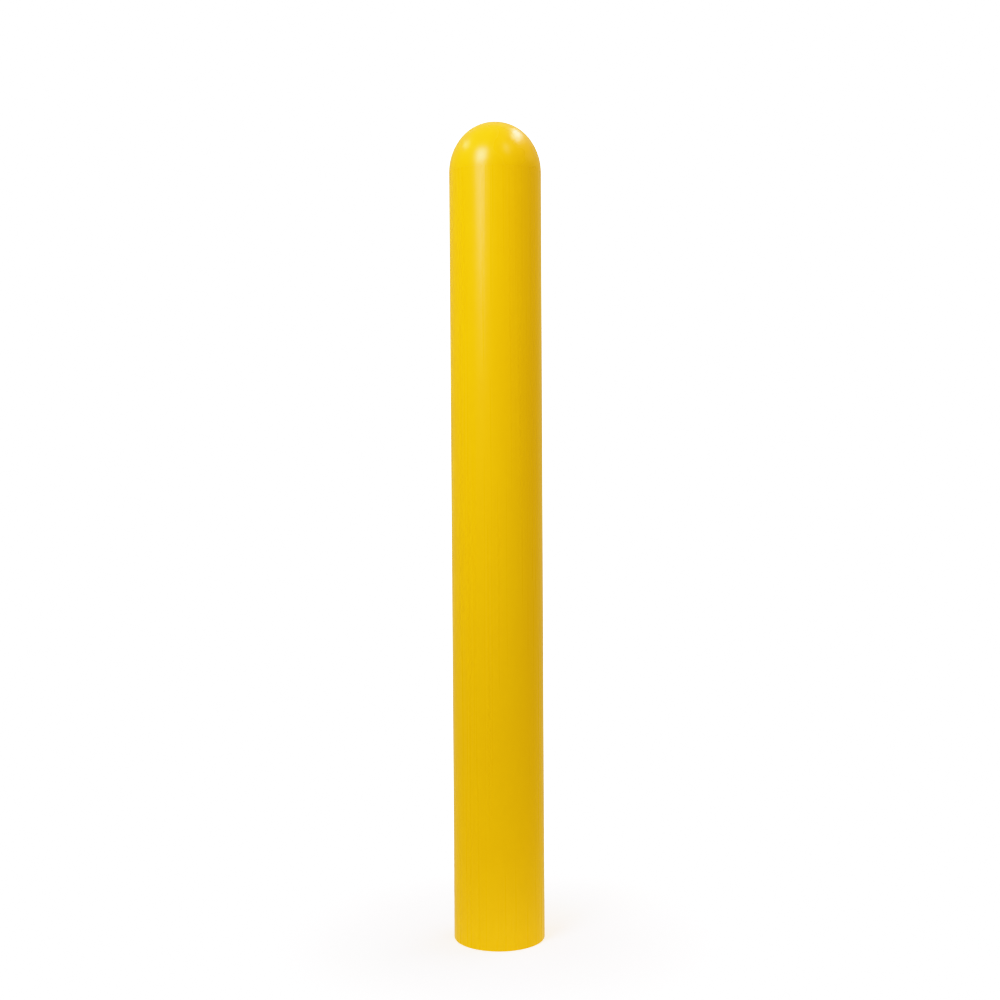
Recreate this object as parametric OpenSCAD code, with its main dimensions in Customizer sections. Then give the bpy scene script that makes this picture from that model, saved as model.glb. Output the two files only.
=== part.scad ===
// Cover sleeve for a round steel guard post. An extruded plastic tube is closed by a moulded dome that
// is spin welded into it, and upright strips of foam tape inside the tube grip the post.
// Millimetres, +Z up, origin at the centre of the open foot.

/* [Sleeve tube] */
// Outside diameter of the post that the cover goes over
post_d = 114.3; // [80:0.1:170]
// Length to which the tube is cut, from the foot to the seam
tube_l = 1145; // [900:0.5:1800]
// Thickness of the tube's wall
tube_wall = 6.35; // [4:0.05:10]
// Radius that rounds the outer edge of the foot
foot_round = 1.5; // [0.5:0.1:2]
// Chamfer that opens the bore at the foot
foot_lead_in = 1.5; // [0.5:0.1:1.8]

/* [Dome cap] */
// Thickness of the dome's wall
dome_wall = 6.35; // [4:0.05:10]
// How far beyond the axis the centre of the shoulder's arc lies
shoulder_offset = 12; // [4:0.5:20]
// Height of the centre of the crown's arc above the seam
crown_lift = 9; // [3:0.5:15]

/* [Weld joint] */
// Depth of the dome's spigot inside the tube
spigot_depth = 25; // [10:0.5:60]
// Radial gap between the spigot and the tube's bore
spigot_gap = 0.1; // [0.05:0.05:0.3]
// Radial gap between the spigot's own bore and the post
post_gap = 0.8; // [0.3:0.1:1.5]
// Height of the taper that leads the spigot into the tube
spigot_lead_h = 4; // [1:0.5:8]
// Depth of that taper
spigot_lead_t = 1.2; // [0.5:0.1:1.5]
// Chamfer at the top of the tube's bore, where the melt of the weld gathers
melt_trap = 1; // [0.5:0.1:1.5]
// Chamfer of both outer edges at the seam, which leaves a fine groove around the cover
seam_groove = 0.15; // [0.1:0.05:0.6]

/* [Foam strips] */
// Thickness of the foam tape, together with its adhesive
tape_t = 4.7625; // [3.5:0.05:8]
// Thickness of the adhesive film between the foam and the tube's bore
glue_t = 0.1; // [0.05:0.05:0.3]
// Number of strips around the bore at each of the two levels
strips_per_level = 4; // [3:1:6]
// Width of a strip, along the bore
strip_w = 38.1; // [20:0.05:50]
// Length of a strip
strip_l = 304.8; // [150:0.1:400]
// Height of the lower strips above the foot
lower_strip_z = 50; // [20:1:100]
// Distance from the upper strips up to the spigot
upper_strip_gap = 25; // [5:1:60]

/* [Hidden] */
$fn = 128;

dome_yellow = "#f7cb16";
tube_yellow = "#eec00a";
foam_grey = "#4a4c4e";

// The tape's thickness and the tube's wall follow each other outwards from the post.
post_r = post_d / 2;
bore_r = post_r + tape_t;
tube_r = bore_r + tube_wall;

// The dome's outline is two arcs. The shoulder's arc is centred level with the seam, so that it leaves
// the tube upright. The crown's arc is centred on the axis, and on the line between both centres the
// arcs touch with the same slope.
shoulder_r = tube_r + shoulder_offset;
crown_r = shoulder_r - norm([shoulder_offset, crown_lift]);

spigot_r = bore_r - spigot_gap;
spigot_bore_r = post_r + post_gap;

strip_angle = strip_w / bore_r * 180 / PI;
upper_strip_z = tube_l - spigot_depth - upper_strip_gap - strip_l;

function strip_name(level, index) = str("foam_strip_", level, "_", index);

// Half section of a dome, inset from the outer surface and standing on the seam
module dome_section(inset) {
    // The line through both centres parts the shoulder from the crown, and ends well past the dome.
    steps = ceil(shoulder_r / min(shoulder_offset, crown_lift)) + 1;
    far_x = shoulder_offset * steps;
    far_y = crown_lift * (steps + 1);
    intersection() {
        translate([-shoulder_offset, 0]) circle(shoulder_r - inset);
        polygon([[0, 0], [far_x, 0], [far_x, far_y], [0, crown_lift]]);
    }
    intersection() {
        translate([0, crown_lift]) circle(crown_r - inset);
        polygon([[0, crown_lift], [far_x, far_y], [0, far_y]]);
    }
}

// What is cut off a square outer corner at x on the ground line to leave it rounded
module corner_waste(x, radius) {
    difference() {
        translate([x - radius, -radius]) square(2 * radius);
        translate([x - radius, radius]) circle(radius);
    }
}

module tube_section() {
    difference() {
        polygon([
            [bore_r + foot_lead_in, 0],
            [tube_r, 0],
            [tube_r, tube_l - seam_groove],
            [tube_r - seam_groove, tube_l],
            [bore_r + melt_trap, tube_l],
            [bore_r, tube_l - melt_trap],
            [bore_r, foot_lead_in],
        ]);
        corner_waste(tube_r, foot_round);
    }
}

// The tube's end and the rim above it share the fine groove at the seam.
module rim_groove() {
    polygon([
        [tube_r - seam_groove, 0],
        [tube_r + seam_groove, 0],
        [tube_r + seam_groove, 2 * seam_groove],
    ]);
}

module spigot_section() {
    polygon([
        [spigot_bore_r, 0],
        [spigot_bore_r, -spigot_depth],
        [spigot_r - spigot_lead_t, -spigot_depth],
        [spigot_r, spigot_lead_h - spigot_depth],
        [spigot_r, 0],
    ]);
}

// The spigot's bore runs straight up into the dome, so that the mould's core draws out.
module cap_section() {
    difference() {
        dome_section(0);
        intersection() {
            dome_section(dome_wall);
            square([spigot_bore_r, shoulder_r]);
        }
        rim_groove();
    }
    spigot_section();
}

module sleeve_tube() {
    color(tube_yellow) rotate_extrude() tube_section();
}

module dome_cap() {
    color(dome_yellow) translate([0, 0, tube_l]) rotate_extrude() cap_section();
}

// One strip of a level, counted round the bore from the +X side
module foam_strip(index, z) {
    turn = (index - 1) * 360 / strips_per_level - strip_angle / 2;
    color(foam_grey)
        translate([0, 0, z])
            rotate(turn)
                rotate_extrude(angle = strip_angle)
                    translate([post_r, 0])
                        square([tape_t - glue_t, strip_l]);
}

sleeve_tube();
dome_cap();
for (i = [1:strips_per_level]) {
    foam_strip(i, upper_strip_z);
    foam_strip(i, lower_strip_z);
}
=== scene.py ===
"""Dresses a bollard cover sleeve: a yellow polyethylene tube, a dome welded into it, and foam tape inside."""

import logging
import math
from dataclasses import dataclass
from enum import Enum

import bpy
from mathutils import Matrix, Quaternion, Vector


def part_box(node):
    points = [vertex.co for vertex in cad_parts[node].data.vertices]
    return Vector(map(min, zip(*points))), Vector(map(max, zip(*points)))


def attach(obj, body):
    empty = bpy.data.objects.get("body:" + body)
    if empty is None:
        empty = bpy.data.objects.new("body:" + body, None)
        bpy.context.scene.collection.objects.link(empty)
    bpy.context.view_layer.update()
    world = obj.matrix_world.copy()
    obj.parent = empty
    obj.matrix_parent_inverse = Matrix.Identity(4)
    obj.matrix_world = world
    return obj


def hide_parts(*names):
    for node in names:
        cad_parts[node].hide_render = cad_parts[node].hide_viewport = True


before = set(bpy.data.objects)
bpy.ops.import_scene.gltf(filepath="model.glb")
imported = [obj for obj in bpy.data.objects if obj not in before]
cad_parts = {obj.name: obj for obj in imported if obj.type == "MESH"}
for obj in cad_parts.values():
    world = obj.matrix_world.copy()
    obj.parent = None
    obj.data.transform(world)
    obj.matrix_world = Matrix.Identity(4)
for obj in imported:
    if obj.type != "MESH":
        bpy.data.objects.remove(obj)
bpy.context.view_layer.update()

LOG = logging.getLogger("bollard_cover")
MM = 0.001
BODY = "root"
LATHE_STEPS = 224
SMOOTH_ANGLE = math.radians(30)
EDGE_ANGLE = math.radians(60)
MERGE_DISTANCE = 0.01 * MM
AIM_ABOVE_SEAM = 40 * MM
# Distance from line to line in Blender's wave texture at a scale of one
WAVE_PITCH = math.pi / 10


def linear(hex_colour: str) -> tuple[float, float, float, float]:
    """Turns an sRGB hex colour into the linear colour that a shader takes.

    Args:
        hex_colour: Colour as "#rrggbb".

    Returns:
        Linear red, green, blue and an alpha of one.
    """
    parts = [int(hex_colour[i:i + 2], 16) / 255 for i in (1, 3, 5)]
    red, green, blue = [p / 12.92 if p <= 0.04045 else ((p + 0.055) / 1.055) ** 2.4 for p in parts]
    return red, green, blue, 1.0


def add_node(
    tree: bpy.types.NodeTree, kind: str, inputs: dict | None = None, **settings: object
) -> bpy.types.Node:
    """Adds a shader node with its settings, input values and links.

    Args:
        tree: Node tree that takes the node.
        kind: Blender's name for the kind of node.
        inputs: Input name or number to a value, or to the socket that feeds it.
        settings: The node's own properties.

    Returns:
        The new node.
    """
    made = tree.nodes.new(kind)
    for name, value in settings.items():
        setattr(made, name, value)
    for key, value in (inputs or {}).items():
        if isinstance(value, bpy.types.NodeSocket):
            tree.links.new(value, made.inputs[key])
        else:
            made.inputs[key].default_value = value
    return made


def empty_material(name: str) -> tuple[bpy.types.Material, bpy.types.NodeTree]:
    """Makes a material with an empty node tree.

    Args:
        name: The material's name.

    Returns:
        The material and its node tree.
    """
    material = bpy.data.materials.new(name)
    material.use_nodes = True
    material.node_tree.nodes.clear()
    return material, material.node_tree


def deselect_all() -> None:
    """Deselects every object."""
    bpy.ops.object.select_all(action="DESELECT")


class SectionPen:
    """Draws a section in the XZ plane from point to point, and turns it about the Z axis."""

    def __init__(self, name: str, x: float, z: float) -> None:
        """Starts a new piece with one point of its section.

        Args:
            name: The piece's name.
            x: Distance of the first point from the axis.
            z: Height of the first point.
        """
        deselect_all()
        bpy.ops.mesh.primitive_plane_add(size=MM)
        self.piece = bpy.context.object
        self.piece.name = self.piece.data.name = name
        bpy.ops.object.mode_set(mode="EDIT")
        bpy.ops.mesh.select_all(action="SELECT")
        bpy.ops.mesh.merge(type="CENTER")
        bpy.ops.transform.translate(value=(x, 0, z))
        self.x, self.z = x, z

    def line(self, x: float, z: float, pieces: int = 1) -> None:
        """Draws a straight line to a point.

        Args:
            x: Distance of the point from the axis.
            z: Height of the point.
            pieces: Number of equal edges in the line.
        """
        step = ((x - self.x) / pieces, 0, (z - self.z) / pieces)
        for _ in range(pieces):
            bpy.ops.mesh.extrude_vertices_move(TRANSFORM_OT_translate={"value": step})
        self.x, self.z = x, z

    def arc(self, x: float, z: float, turn: float, pieces: int) -> None:
        """Draws an arc round a centre.

        Args:
            x: Distance of the centre from the axis.
            z: Height of the centre.
            turn: Angle of the arc, positive from the outside towards the top.
            pieces: Number of equal edges in the arc.
        """
        bpy.ops.mesh.spin(steps=pieces, angle=turn, center=(x, 0, z), axis=(0, 1, 0))
        across, up = self.x - x, self.z - z
        self.x = x + across * math.cos(turn) - up * math.sin(turn)
        self.z = z + across * math.sin(turn) + up * math.cos(turn)

    def turn(self, angle: float, steps: int) -> bpy.types.Object:
        """Turns the section about the Z axis and closes the piece.

        Args:
            angle: Angle of the turn, a full one for a round piece.
            steps: Number of equal steps in the turn.

        Returns:
            The finished piece, in object mode.
        """
        self._merge()
        bpy.ops.mesh.spin(steps=steps, angle=angle, center=(0, 0, 0), axis=(0, 0, 1))
        self._merge()
        bpy.ops.mesh.normals_make_consistent(inside=False)
        bpy.ops.object.mode_set(mode="OBJECT")
        bpy.ops.object.shade_smooth_by_angle(angle=SMOOTH_ANGLE)
        return self.piece

    def _merge(self) -> None:
        """Merges the points that fell together."""
        bpy.ops.mesh.select_all(action="SELECT")
        bpy.ops.mesh.remove_doubles(threshold=MERGE_DISTANCE)
        bpy.ops.mesh.select_all(action="SELECT")


def join_model(piece: bpy.types.Object, node: str, material: bpy.types.Material) -> None:
    """Gives a piece its finish and puts it in the place of its solid.

    Args:
        piece: The finished piece.
        node: The solid that it stands for.
        material: The finish itself.
    """
    piece.data.materials.append(material)
    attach(piece, BODY)
    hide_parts(node)
    LOG.info("%s: %d faces", piece.name, len(piece.data.polygons))


@dataclass(frozen=True)
class Polyethylene:
    """Yellow polyethylene, coloured all through: what the tube and the dome have in common."""

    colour: str = "#f0c200"
    shade: str = "#ecbc00"
    ior: float = 1.44
    roughness: float = 0.28
    gloss_swing: float = 0.02
    pattern_low: float = 0.3
    pattern_high: float = 0.7
    cloud_size: float = 110 * MM
    cloud_detail: float = 3.0
    peel_size: float = 3 * MM
    peel_detail: float = 1.0
    peel_depth: float = 0.008 * MM

    def skin(
        self, tree: bpy.types.NodeTree, place: bpy.types.NodeSocket
    ) -> tuple[bpy.types.NodeSocket, bpy.types.NodeSocket]:
        """Adds the soft clouds in the pigment and the orange peel.

        Args:
            tree: Node tree of the finish.
            place: Place on the piece.

        Returns:
            The pattern of the clouds, and the normal of the peel.
        """
        clouds = add_node(tree, "ShaderNodeTexNoise", {
            "Vector": place, "Scale": 1 / self.cloud_size, "Detail": self.cloud_detail,
        })
        peel = add_node(tree, "ShaderNodeTexNoise", {
            "Vector": place, "Scale": 1 / self.peel_size, "Detail": self.peel_detail,
        })
        relief = add_node(tree, "ShaderNodeBump", {
            "Height": peel.outputs["Fac"], "Distance": self.peel_depth, "Strength": 1.0,
        })
        return clouds.outputs["Fac"], relief.outputs["Normal"]

    def surface(
        self,
        tree: bpy.types.NodeTree,
        clouds: bpy.types.NodeSocket,
        roughness: bpy.types.NodeSocket,
        normal: bpy.types.NodeSocket,
    ) -> None:
        """Brings pigment, gloss and relief together.

        Args:
            tree: Node tree of the finish.
            clouds: Pattern of the pigment.
            roughness: Roughness all over the piece.
            normal: Normal of the finished relief.
        """
        pigment = add_node(tree, "ShaderNodeMix", {
            0: clouds, 6: linear(self.shade), 7: linear(self.colour),
        }, data_type="RGBA")
        plastic = add_node(tree, "ShaderNodeBsdfPrincipled", {
            "Base Color": pigment.outputs[2], "Roughness": roughness, "Normal": normal, "IOR": self.ior,
        })
        add_node(tree, "ShaderNodeOutputMaterial", {"Surface": plastic.outputs["BSDF"]})


@dataclass(frozen=True)
class ExtrudedPolyethylene(Polyethylene):
    """Polyethylene pipe, drawn through a die and sawn to length."""

    # To the eye it is an even, deep yellow. Highlights are soft and wide, faint lines run along the tube, and
    # the sawn foot is dull. The lines and the peel are under a millimetre wide in the real pipe, too fine to
    # show, so they are drawn coarser.
    line_width: float = 5 * MM
    line_length: float = 700 * MM
    line_detail: float = 2.0
    line_depth: float = 0.008 * MM
    saw_pitch: float = 1.4 * MM
    saw_waver: float = 1.5
    saw_depth: float = 0.06 * MM
    saw_roughness: float = 0.6
    cut_low: float = 0.15 * MM
    cut_high: float = 0.5 * MM

    def make(self) -> bpy.types.Material:
        """Builds the finish.

        Returns:
            The material.
        """
        material, tree = empty_material("extruded_polyethylene")
        place = add_node(tree, "ShaderNodeTexCoord").outputs["Object"]
        clouds, peel = self.skin(tree, place)
        drawn = add_node(tree, "ShaderNodeMapping", {
            "Vector": place,
            "Scale": (1 / self.line_width, 1 / self.line_width, 1 / self.line_length),
        })
        lines = add_node(tree, "ShaderNodeTexNoise", {
            "Vector": drawn.outputs["Vector"], "Scale": 1.0, "Detail": self.line_detail,
        })
        gloss = add_node(tree, "ShaderNodeMapRange", {
            "Value": lines.outputs["Fac"], "From Min": self.pattern_low, "From Max": self.pattern_high,
            "To Min": self.roughness - self.gloss_swing, "To Max": self.roughness + self.gloss_swing,
        })
        height = add_node(tree, "ShaderNodeSeparateXYZ", {"Vector": place}).outputs["Z"]
        sawn = add_node(tree, "ShaderNodeMapRange", {
            "Value": height, "From Min": self.cut_low, "From Max": self.cut_high,
            "To Min": 1.0, "To Max": 0.0,
        })
        saw = add_node(tree, "ShaderNodeTexWave", {
            "Vector": place, "Scale": WAVE_PITCH / self.saw_pitch, "Distortion": self.saw_waver,
        })
        marks = add_node(tree, "ShaderNodeMath", {
            0: sawn.outputs["Result"], 1: saw.outputs["Fac"],
        }, operation="MULTIPLY")
        roughness = add_node(tree, "ShaderNodeMix", {
            0: sawn.outputs["Result"], 2: gloss.outputs["Result"], 3: self.saw_roughness,
        }, data_type="FLOAT")
        drawn_relief = add_node(tree, "ShaderNodeBump", {
            "Height": lines.outputs["Fac"], "Distance": self.line_depth, "Strength": 1.0, "Normal": peel,
        })
        sawn_relief = add_node(tree, "ShaderNodeBump", {
            "Height": marks.outputs["Value"], "Distance": self.saw_depth, "Strength": 1.0,
            "Normal": drawn_relief.outputs["Normal"],
        })
        self.surface(tree, clouds, roughness.outputs[0], sawn_relief.outputs["Normal"])
        return material


@dataclass(frozen=True)
class MouldedPolyethylene(Polyethylene):
    """Polyethylene, moulded against smooth steel."""

    # To the eye it is the tube's own yellow and gloss, without the lines, so that its highlights stay clean
    # and round. The orange peel is about a millimetre wide in the real dome, too fine to show, so it is drawn
    # coarser.
    shade: str = "#ecbd00"
    cloud_size: float = 60 * MM
    cloud_detail: float = 2.0
    peel_size: float = 4 * MM
    peel_depth: float = 0.012 * MM

    def make(self) -> bpy.types.Material:
        """Builds the finish.

        Returns:
            The material.
        """
        material, tree = empty_material("moulded_polyethylene")
        place = add_node(tree, "ShaderNodeTexCoord").outputs["Object"]
        clouds, peel = self.skin(tree, place)
        gloss = add_node(tree, "ShaderNodeMapRange", {
            "Value": clouds, "From Min": self.pattern_low, "From Max": self.pattern_high,
            "To Min": self.roughness - self.gloss_swing, "To Max": self.roughness + self.gloss_swing,
        })
        self.surface(tree, clouds, gloss.outputs["Result"], peel)
        return material


@dataclass(frozen=True)
class ClosedCellFoam:
    """Closed-cell foam tape, slit from a block."""

    # To the eye it is a dull charcoal without highlights, and the cut cells are fine pores with painted shade
    # darkening each pore's middle. The real cells are about 0.3 mm wide, too fine to show, so they are drawn
    # coarser.
    colour: str = "#4b4d50"
    shade: str = "#35373a"
    roughness: float = 0.92
    cell_size: float = 1.1 * MM
    cell_depth: float = 0.35 * MM
    cloud_size: float = 25 * MM
    cloud_detail: float = 2.0

    def make(self) -> bpy.types.Material:
        """Builds the finish.

        Returns:
            The material.
        """
        material, tree = empty_material("closed_cell_foam")
        place = add_node(tree, "ShaderNodeTexCoord").outputs["Object"]
        cells = add_node(tree, "ShaderNodeTexVoronoi", {
            "Vector": place, "Scale": 1 / self.cell_size,
        }, feature="SMOOTH_F1")
        clouds = add_node(tree, "ShaderNodeTexNoise", {
            "Vector": place, "Scale": 1 / self.cloud_size, "Detail": self.cloud_detail,
        })
        depth = add_node(tree, "ShaderNodeMath", {
            0: cells.outputs["Distance"], 1: clouds.outputs["Fac"],
        }, operation="MULTIPLY")
        # Painted shade: the pigment goes darker towards each cell's middle, where the pore's bump sinks
        # deepest.
        pigment = add_node(tree, "ShaderNodeMix", {
            0: cells.outputs["Distance"], 6: linear(self.shade), 7: linear(self.colour),
        }, data_type="RGBA")
        relief = add_node(tree, "ShaderNodeBump", {
            "Height": depth.outputs["Value"], "Distance": self.cell_depth, "Strength": 1.0,
        })
        surface = add_node(tree, "ShaderNodeBsdfPrincipled", {
            "Base Color": pigment.outputs[2], "Roughness": self.roughness,
            "Normal": relief.outputs["Normal"],
        })
        add_node(tree, "ShaderNodeOutputMaterial", {"Surface": surface.outputs["BSDF"]})
        return material


@dataclass
class SleeveTube:
    """The extruded tube, from the rounded foot up to the seam."""

    radius: float
    length: float
    wall: float = 6.35 * MM
    foot_round: float = 1.5 * MM
    foot_lead_in: float = 1.5 * MM
    melt_trap: float = 1.0 * MM
    seam_groove: float = 0.15 * MM
    foot_rows: int = 8
    rows: int = 48

    def build(self) -> bpy.types.Object:
        """Models the tube.

        Returns:
            The tube.
        """
        bore = self.radius - self.wall
        edge = self.radius - self.foot_round
        pen = SectionPen("sleeve_tube_shell", bore + self.foot_lead_in, 0)
        pen.line(edge, 0)
        pen.arc(edge, self.foot_round, math.pi / 2, pieces=self.foot_rows)
        pen.line(self.radius, self.length - self.seam_groove, pieces=self.rows)
        pen.line(self.radius - self.seam_groove, self.length)
        pen.line(bore + self.melt_trap, self.length)
        pen.line(bore, self.length - self.melt_trap)
        pen.line(bore, self.foot_lead_in, pieces=self.rows)
        pen.line(bore + self.foot_lead_in, 0)
        return pen.turn(2 * math.pi, LATHE_STEPS)

    def dress(self, piece: bpy.types.Object) -> None:
        """Gives the tube its finish and its place."""
        join_model(piece, "sleeve_tube", ExtrudedPolyethylene().make())


@dataclass
class DomeCap:
    """The moulded dome with its rim and the spigot that plugs into the tube."""

    radius: float
    seam: float
    spigot_end: float
    bore: float = 57.95 * MM
    wall: float = 6.35 * MM
    shoulder_offset: float = 12 * MM
    crown_lift: float = 9 * MM
    tube_wall: float = 6.35 * MM
    spigot_gap: float = 0.1 * MM
    spigot_lead_h: float = 4 * MM
    spigot_lead_t: float = 1.2 * MM
    seam_groove: float = 0.15 * MM
    shoulder_rows: int = 20
    crown_rows: int = 30
    hollow_rows: int = 10
    bore_rows: int = 6
    spigot_rows: int = 4

    def build(self) -> bpy.types.Object:
        """Models the dome.

        Returns:
            The dome.
        """
        offset, lift = self.shoulder_offset, self.crown_lift
        touch = math.atan2(lift, offset)
        crown = self.seam + lift
        spigot = self.radius - self.tube_wall - self.spigot_gap
        rise = math.asin(self.seam_groove / (self.radius + offset))
        pen = SectionPen("dome_cap_shell", self.radius, self.seam)
        pen.arc(-offset, self.seam, rise, pieces=1)
        pen.arc(-offset, self.seam, touch - rise, pieces=self.shoulder_rows)
        pen.arc(0, crown, math.pi / 2 - touch, pieces=self.crown_rows)
        pen.line(0, pen.z - self.wall)
        pen.arc(0, crown, touch - math.pi / 2, pieces=self.crown_rows)
        inner = self.radius + offset - self.wall
        meet = math.acos((self.bore + offset) / inner)
        pen.arc(-offset, self.seam, meet - touch, pieces=self.hollow_rows)
        pen.line(self.bore, self.spigot_end, pieces=self.bore_rows)
        pen.line(spigot - self.spigot_lead_t, self.spigot_end)
        pen.line(spigot, self.spigot_end + self.spigot_lead_h)
        pen.line(spigot, self.seam, pieces=self.spigot_rows)
        pen.line(self.radius - self.seam_groove, self.seam)
        pen.line(self.radius, self.seam)
        return pen.turn(2 * math.pi, LATHE_STEPS)

    def dress(self, piece: bpy.types.Object) -> None:
        """Gives the dome its finish and its place."""
        join_model(piece, "dome_cap", MouldedPolyethylene().make())


class StripLevel(Enum):
    """The two heights at which the foam strips sit."""

    UPPER = "upper"
    LOWER = "lower"


@dataclass
class FoamStrips:
    """The strips of foam tape that line the bore, four to each level."""

    inner_radius: float
    outer_radius: float
    half_angle: float
    length: float
    per_level: int = 4
    rows: int = 120
    columns: int = 18
    edge_round: float = 0.6 * MM
    edge_rows: int = 3
    dent_size: float = 9 * MM
    dent_depth: float = 0.5 * MM
    fill: float = 0.95

    @property
    def thickness(self) -> float:
        """Thickness of the tape."""
        return self.outer_radius - self.inner_radius

    def build(self) -> bpy.types.Object:
        """Models one strip on the +X side, with its lower end at height zero.

        Returns:
            The strip.
        """
        pen = SectionPen("foam_strip_pattern", self.outer_radius, 0)
        pen.line(self.outer_radius, self.length, pieces=self.rows)
        strip = pen.turn(2 * self.half_angle, self.columns)
        strip.rotation_euler.z = self.half_angle
        bpy.ops.object.transform_apply(location=False, rotation=True, scale=False)

        body = strip.modifiers.new("body", "SOLIDIFY")
        body.thickness = self.thickness
        body.offset = -1
        edges = strip.modifiers.new("edges", "BEVEL")
        edges.width = self.edge_round
        edges.segments = self.edge_rows
        edges.limit_method = "ANGLE"
        edges.angle_limit = EDGE_ANGLE
        for modifier in ("body", "edges"):
            bpy.ops.object.modifier_apply(modifier=modifier)
        self._dent(strip)
        bpy.ops.object.shade_smooth_by_angle(angle=SMOOTH_ANGLE)
        return strip

    def _dent(self, strip: bpy.types.Object) -> None:
        """Presses shallow dents into the free face, and leaves the glued face as it is.

        Args:
            strip: The strip, selected and active.
        """
        free = strip.vertex_groups.new(name="free_face")
        middle = (self.inner_radius + self.outer_radius) / 2
        free.add([v.index for v in strip.data.vertices if v.co.xy.length < middle], 1.0, "REPLACE")
        clouds = bpy.data.textures.new("foam_dents", "CLOUDS")
        clouds.noise_scale = self.dent_size
        dents = strip.modifiers.new("dents", "DISPLACE")
        dents.texture = clouds
        dents.texture_coords = "LOCAL"
        dents.vertex_group = free.name
        dents.mid_level = 1.0
        dents.strength = self.dent_depth
        bpy.ops.object.modifier_apply(modifier="dents")

    def copy(self, pattern: bpy.types.Object, turn: float, height: float) -> bpy.types.Object:
        """Copies the strip to its place in the bore.

        Args:
            pattern: The strip that was modelled.
            turn: Angle of the copy round the bore.
            height: Height of its lower end.

        Returns:
            The copy, with a mesh of its own.
        """
        deselect_all()
        pattern.select_set(True)
        bpy.context.view_layer.objects.active = pattern
        bpy.ops.object.duplicate(linked=False)
        strip = bpy.context.object
        strip.rotation_euler.z = turn
        strip.location.z = height
        bpy.ops.object.transform_apply(location=True, rotation=True, scale=False)
        return strip

    def dress(self, pattern: bpy.types.Object) -> None:
        """Fills both levels with copies of the strip, and gives them their finish and place.

        Args:
            pattern: The strip that was modelled, which is used up.
        """
        foam = ClosedCellFoam().make()
        for level in StripLevel:
            for index in range(self.per_level):
                node = f"foam_strip_{level.value}_{index + 1}"
                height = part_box(node)[0].z
                strip = self.copy(pattern, 2 * math.pi * index / self.per_level, height)
                strip.name = strip.data.name = f"{node}_pad"
                join_model(strip, node, foam)
        bpy.data.objects.remove(pattern)


@dataclass(frozen=True)
class Lamp:
    """A soft panel lamp, aimed at a point. Its angles are in degrees and its sizes in metres."""

    name: str
    azimuth: float
    elevation: float
    width: float
    height: float
    watts: float
    spread: float = 180
    tilt: float = 0
    colour: str = "#ffffff"
    distance: float = 2.2

    def place(self, target: Vector) -> None:
        """Hangs the lamp.

        Args:
            target: Point that the lamp faces.
        """
        data = bpy.data.lights.new(self.name, "AREA")
        data.shape = "RECTANGLE"
        data.size, data.size_y = self.width, self.height
        data.energy = self.watts
        data.color = linear(self.colour)[:3]
        data.spread = math.radians(self.spread)
        lamp = bpy.data.objects.new(self.name, data)
        bpy.context.scene.collection.objects.link(lamp)
        azimuth, elevation = math.radians(self.azimuth), math.radians(self.elevation)
        way = Vector((
            math.cos(elevation) * math.cos(azimuth),
            math.cos(elevation) * math.sin(azimuth),
            math.sin(elevation),
        ))
        lamp.location = target + way * self.distance
        lamp.rotation_mode = "QUATERNION"
        tilt = Quaternion((0, 0, 1), math.radians(self.tilt))
        lamp.rotation_quaternion = way.to_track_quat("Z", "Y") @ tilt


@dataclass(frozen=True)
class Camera:
    """The camera, set where the photograph was taken from.

    Distances are in metres, angles in degrees, and the lens and its sensor in millimetres.
    """

    distance: float = 2.2076
    height: float = 0.7537
    pitch: float = 2.417
    yaw: float = 0.117
    roll: float = -0.341
    lens: float = 53.24
    sensor: float = 36.0

    def place(self) -> None:
        """Sets up the camera and makes it the scene's own."""
        data = bpy.data.cameras.new("camera")
        data.lens, data.sensor_width = self.lens, self.sensor
        camera = bpy.data.objects.new("camera", data)
        bpy.context.scene.collection.objects.link(camera)
        pitch, yaw = math.radians(self.pitch), math.radians(self.yaw)
        way = Vector((
            math.sin(yaw) * math.cos(pitch), math.cos(yaw) * math.cos(pitch), -math.sin(pitch),
        ))
        roll = Quaternion((0, 0, 1), math.radians(self.roll))
        camera.location = (0, -self.distance, self.height)
        camera.rotation_mode = "QUATERNION"
        camera.rotation_quaternion = way.to_track_quat("-Z", "Y") @ roll
        bpy.context.scene.camera = camera


@dataclass(frozen=True)
class FilmResponse:
    """How the camera answers to light, alike in each channel: faint haze sinks and highlights roll off.

    Each point is an amount of light and what is shown for it.
    """

    points: tuple[tuple[float, float], ...] = (
        (0, 0), (0.03, 0.008), (0.1, 0.075), (0.7, 0.69), (1.0, 0.9), (1.4, 0.98), (2.0, 1.0),
    )

    def apply(self) -> None:
        """Sets the response on the scene's view."""
        view = bpy.context.scene.view_settings
        view.view_transform = "Standard"
        view.use_curve_mapping = True
        mapping = view.curve_mapping
        mapping.extend = "HORIZONTAL"
        mapping.clip_max_x = self.points[-1][0]
        for curve in mapping.curves[:3]:
            curve.points[0].location = self.points[0]
            curve.points[-1].location = self.points[-1]
            for light, shown in self.points[1:-1]:
                curve.points.new(light, shown)
        mapping.update()


@dataclass(frozen=True)
class Glow:
    """One part of the surround: its name, its colour and how bright it is."""

    name: str
    colour: str
    strength: float


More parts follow.
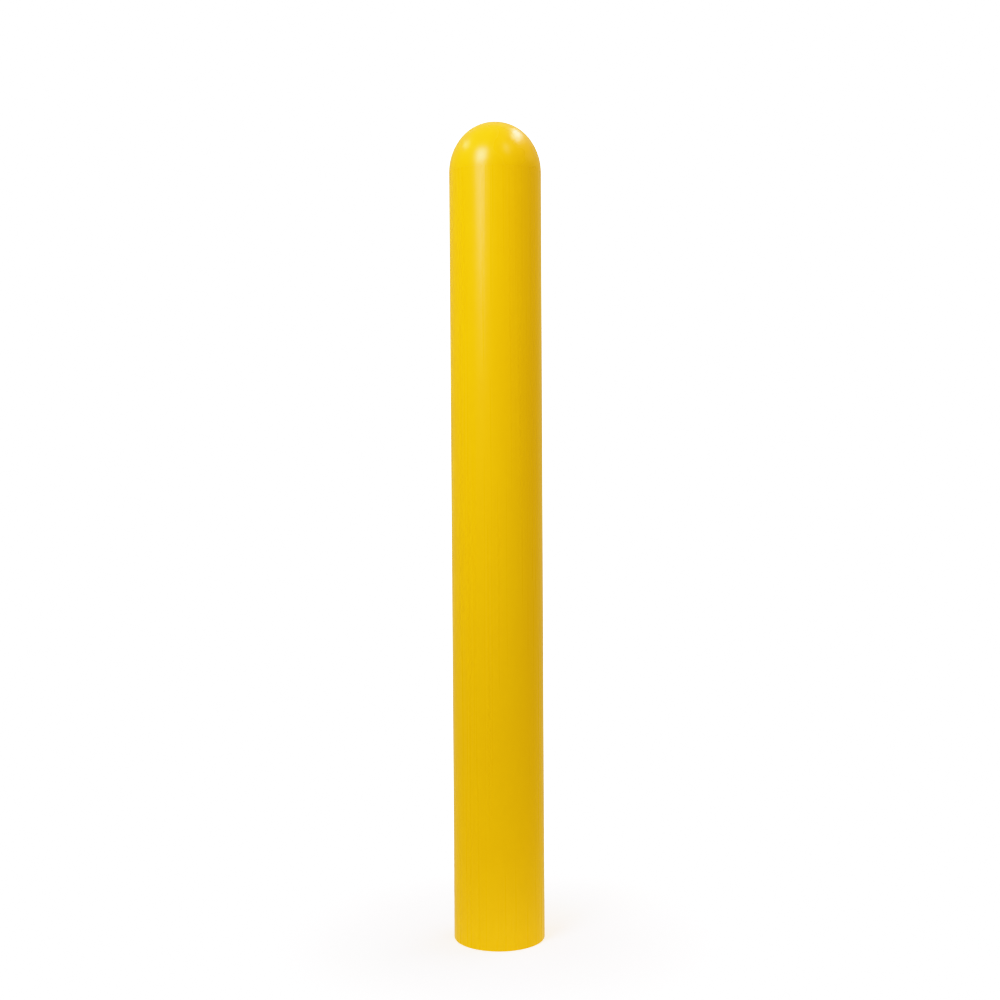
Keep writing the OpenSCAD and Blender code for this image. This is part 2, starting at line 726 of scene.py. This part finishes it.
@dataclass
class Studio:
    """White paper under the cover, a white backdrop, a dim warm surround and the soft lamps.

    Lengths are in metres. Between the two values of an edge, one part of the surround goes over into the
    next: the backdrop's are how far a direction points away from the camera, and the horizon's how far up.
    """

    target: Vector
    lamps: tuple[Lamp, ...]
    paper: str = "#f2f2f0"
    paper_radius: float = 0.6
    paper_sides: int = 96
    paper_hole: float = 0.06
    fade_start: float = 0.08
    glow: float = 0.4
    surround: tuple[Glow, Glow, Glow] = (
        Glow("zenith", "#fff3fa", 0.63),
        Glow("horizon", "#fff8c4", 0.62),
        Glow("ground", "#fff3c4", 0.68),
    )
    backdrop: Glow = Glow("backdrop", "#ffffff", 2.1)
    room: Glow = Glow("room", "#ffffff", 0.9)
    backdrop_edge: tuple[float, float] = (0.4, 0.85)
    horizon_edge: tuple[float, float] = (-0.04, 0.0)
    bore_lamp: Lamp = Lamp("lamp_bore", 0, -90, 0.06, 0.06, 0.06, spread=80, distance=0.06)

    def build(self) -> None:
        """Lays the paper, hangs the lamps and sets the surround."""
        self._lay_paper()
        for lamp in self.lamps:
            lamp.place(self.target)
        self.bore_lamp.place(Vector((0, 0, 0)))
        self._surround()

    def _lay_paper(self) -> None:
        """Lays a round sheet of paper with a hole under the bore.

        It fades out towards its edge, and from below it is clear, so that the open foot can be seen.
        """
        deselect_all()
        bpy.ops.mesh.primitive_circle_add(
            vertices=self.paper_sides, radius=self.paper_radius, fill_type="NGON"
        )
        sheet = bpy.context.object
        sheet.name = sheet.data.name = "studio_paper"
        material, tree = empty_material("white_paper")
        place = add_node(tree, "ShaderNodeTexCoord").outputs["Object"]
        radius = add_node(tree, "ShaderNodeVectorMath", {0: place}, operation="LENGTH")
        fade = add_node(tree, "ShaderNodeMapRange", {
            "Value": radius.outputs["Value"],
            "From Min": self.fade_start, "From Max": self.paper_radius,
        }, interpolation_type="SMOOTHSTEP")
        matt = add_node(tree, "ShaderNodeBsdfDiffuse", {"Color": linear(self.paper)})
        glow = add_node(tree, "ShaderNodeEmission", {"Strength": self.glow})
        lit = add_node(tree, "ShaderNodeAddShader", {
            0: matt.outputs["BSDF"], 1: glow.outputs["Emission"],
        })
        below = add_node(tree, "ShaderNodeNewGeometry").outputs["Backfacing"]
        hole = add_node(tree, "ShaderNodeMath", {
            0: radius.outputs["Value"], 1: self.paper_hole,
        }, operation="LESS_THAN")
        away = add_node(tree, "ShaderNodeMath", {
            0: fade.outputs["Result"], 1: hole.outputs["Value"],
        }, operation="MAXIMUM")
        gone = add_node(tree, "ShaderNodeMath", {0: away.outputs["Value"], 1: below}, operation="MAXIMUM")
        clear = add_node(tree, "ShaderNodeBsdfTransparent")
        surface = add_node(tree, "ShaderNodeMixShader", {
            0: gone.outputs["Value"], 1: lit.outputs["Shader"], 2: clear.outputs["BSDF"],
        })
        add_node(tree, "ShaderNodeOutputMaterial", {"Surface": surface.outputs["Shader"]})
        sheet.data.materials.append(material)
        sheet.visible_glossy = False

    def _surround(self) -> None:
        """Makes the backdrop white behind the cover and the rest of the room pale grey.

        What lights the cover is a dimmer surround, which the camera doesn't see.
        """
        world = bpy.data.worlds.new("studio")
        world.use_nodes = True
        tree = world.node_tree
        tree.nodes.clear()
        zenith, horizon, ground, backdrop, room = [
            add_node(tree, "ShaderNodeBackground", {
                "Color": linear(part.colour), "Strength": part.strength,
            }, name=part.name).outputs["Background"]
            for part in (*self.surround, self.backdrop, self.room)
        ]
        way = add_node(tree, "ShaderNodeTexCoord").outputs["Generated"]
        axes = add_node(tree, "ShaderNodeSeparateXYZ", {"Vector": way})
        up = axes.outputs["Z"]
        below = add_node(tree, "ShaderNodeMapRange", {
            "Value": up, "From Min": self.horizon_edge[0], "From Max": self.horizon_edge[1],
            "To Min": 1.0, "To Max": 0.0,
        })
        sky = add_node(tree, "ShaderNodeMixShader", {0: up, 1: horizon, 2: zenith})
        dim = add_node(tree, "ShaderNodeMixShader", {
            0: below.outputs["Result"], 1: sky.outputs["Shader"], 2: ground,
        })
        behind = add_node(tree, "ShaderNodeMapRange", {
            "Value": axes.outputs["Y"], "From Min": self.backdrop_edge[0], "From Max": self.backdrop_edge[1],
        }, interpolation_type="SMOOTHSTEP")
        wall = add_node(tree, "ShaderNodeMixShader", {
            0: behind.outputs["Result"], 1: room, 2: backdrop,
        })
        seen = add_node(tree, "ShaderNodeLightPath").outputs["Is Camera Ray"]
        both = add_node(tree, "ShaderNodeMixShader", {
            0: seen, 1: dim.outputs["Shader"], 2: wall.outputs["Shader"],
        })
        add_node(tree, "ShaderNodeOutputWorld", {"Surface": both.outputs["Shader"]})
        bpy.context.scene.world = world


LAMPS = (
    Lamp("lamp_left_front", -127, 20, 0.9, 1.3, 1.8, spread=40, colour="#dad9ff"),
    Lamp("lamp_left_key", -127, 33, 0.9, 0.85, 27, colour="#d6d8ff"),
    Lamp("lamp_right_back", 29.5, 53.5, 1.5, 0.45, 21, tilt=-16, colour="#ffe0f4"),
    Lamp("lamp_left_back", 165, 41, 0.85, 0.25, 3.8, colour="#f8f5ff"),
    Lamp("lamp_right_front", -54, 44, 0.4, 0.8, 3.9, colour="#fff6f9"),
    Lamp("lamp_right_low", 16, 23, 1.0, 0.4, 0.5),
)


def main() -> None:
    """Builds the cover piece by piece, then the camera and the studio."""
    logging.basicConfig(level=logging.INFO, format="%(name)s: %(message)s")
    tube_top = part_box("sleeve_tube")[1]
    spigot_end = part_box("dome_cap")[0].z
    strip_low, strip_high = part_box("foam_strip_upper_1")
    half_angle = math.asin(strip_high.y / strip_high.x)

    tube = SleeveTube(radius=tube_top.x, length=tube_top.z)
    tube.dress(tube.build())
    cap = DomeCap(radius=tube_top.x, seam=tube_top.z, spigot_end=spigot_end)
    cap.dress(cap.build())
    strips = FoamStrips(
        inner_radius=strip_low.x / math.cos(half_angle),
        outer_radius=strip_high.x,
        half_angle=half_angle,
        length=strip_high.z - strip_low.z,
    )
    strips.dress(strips.build())

    Camera().place()
    FilmResponse().apply()
    Studio(target=Vector((0, 0, tube_top.z + AIM_ABOVE_SEAM)), lamps=LAMPS).build()


if __name__ == "__main__":
    main()
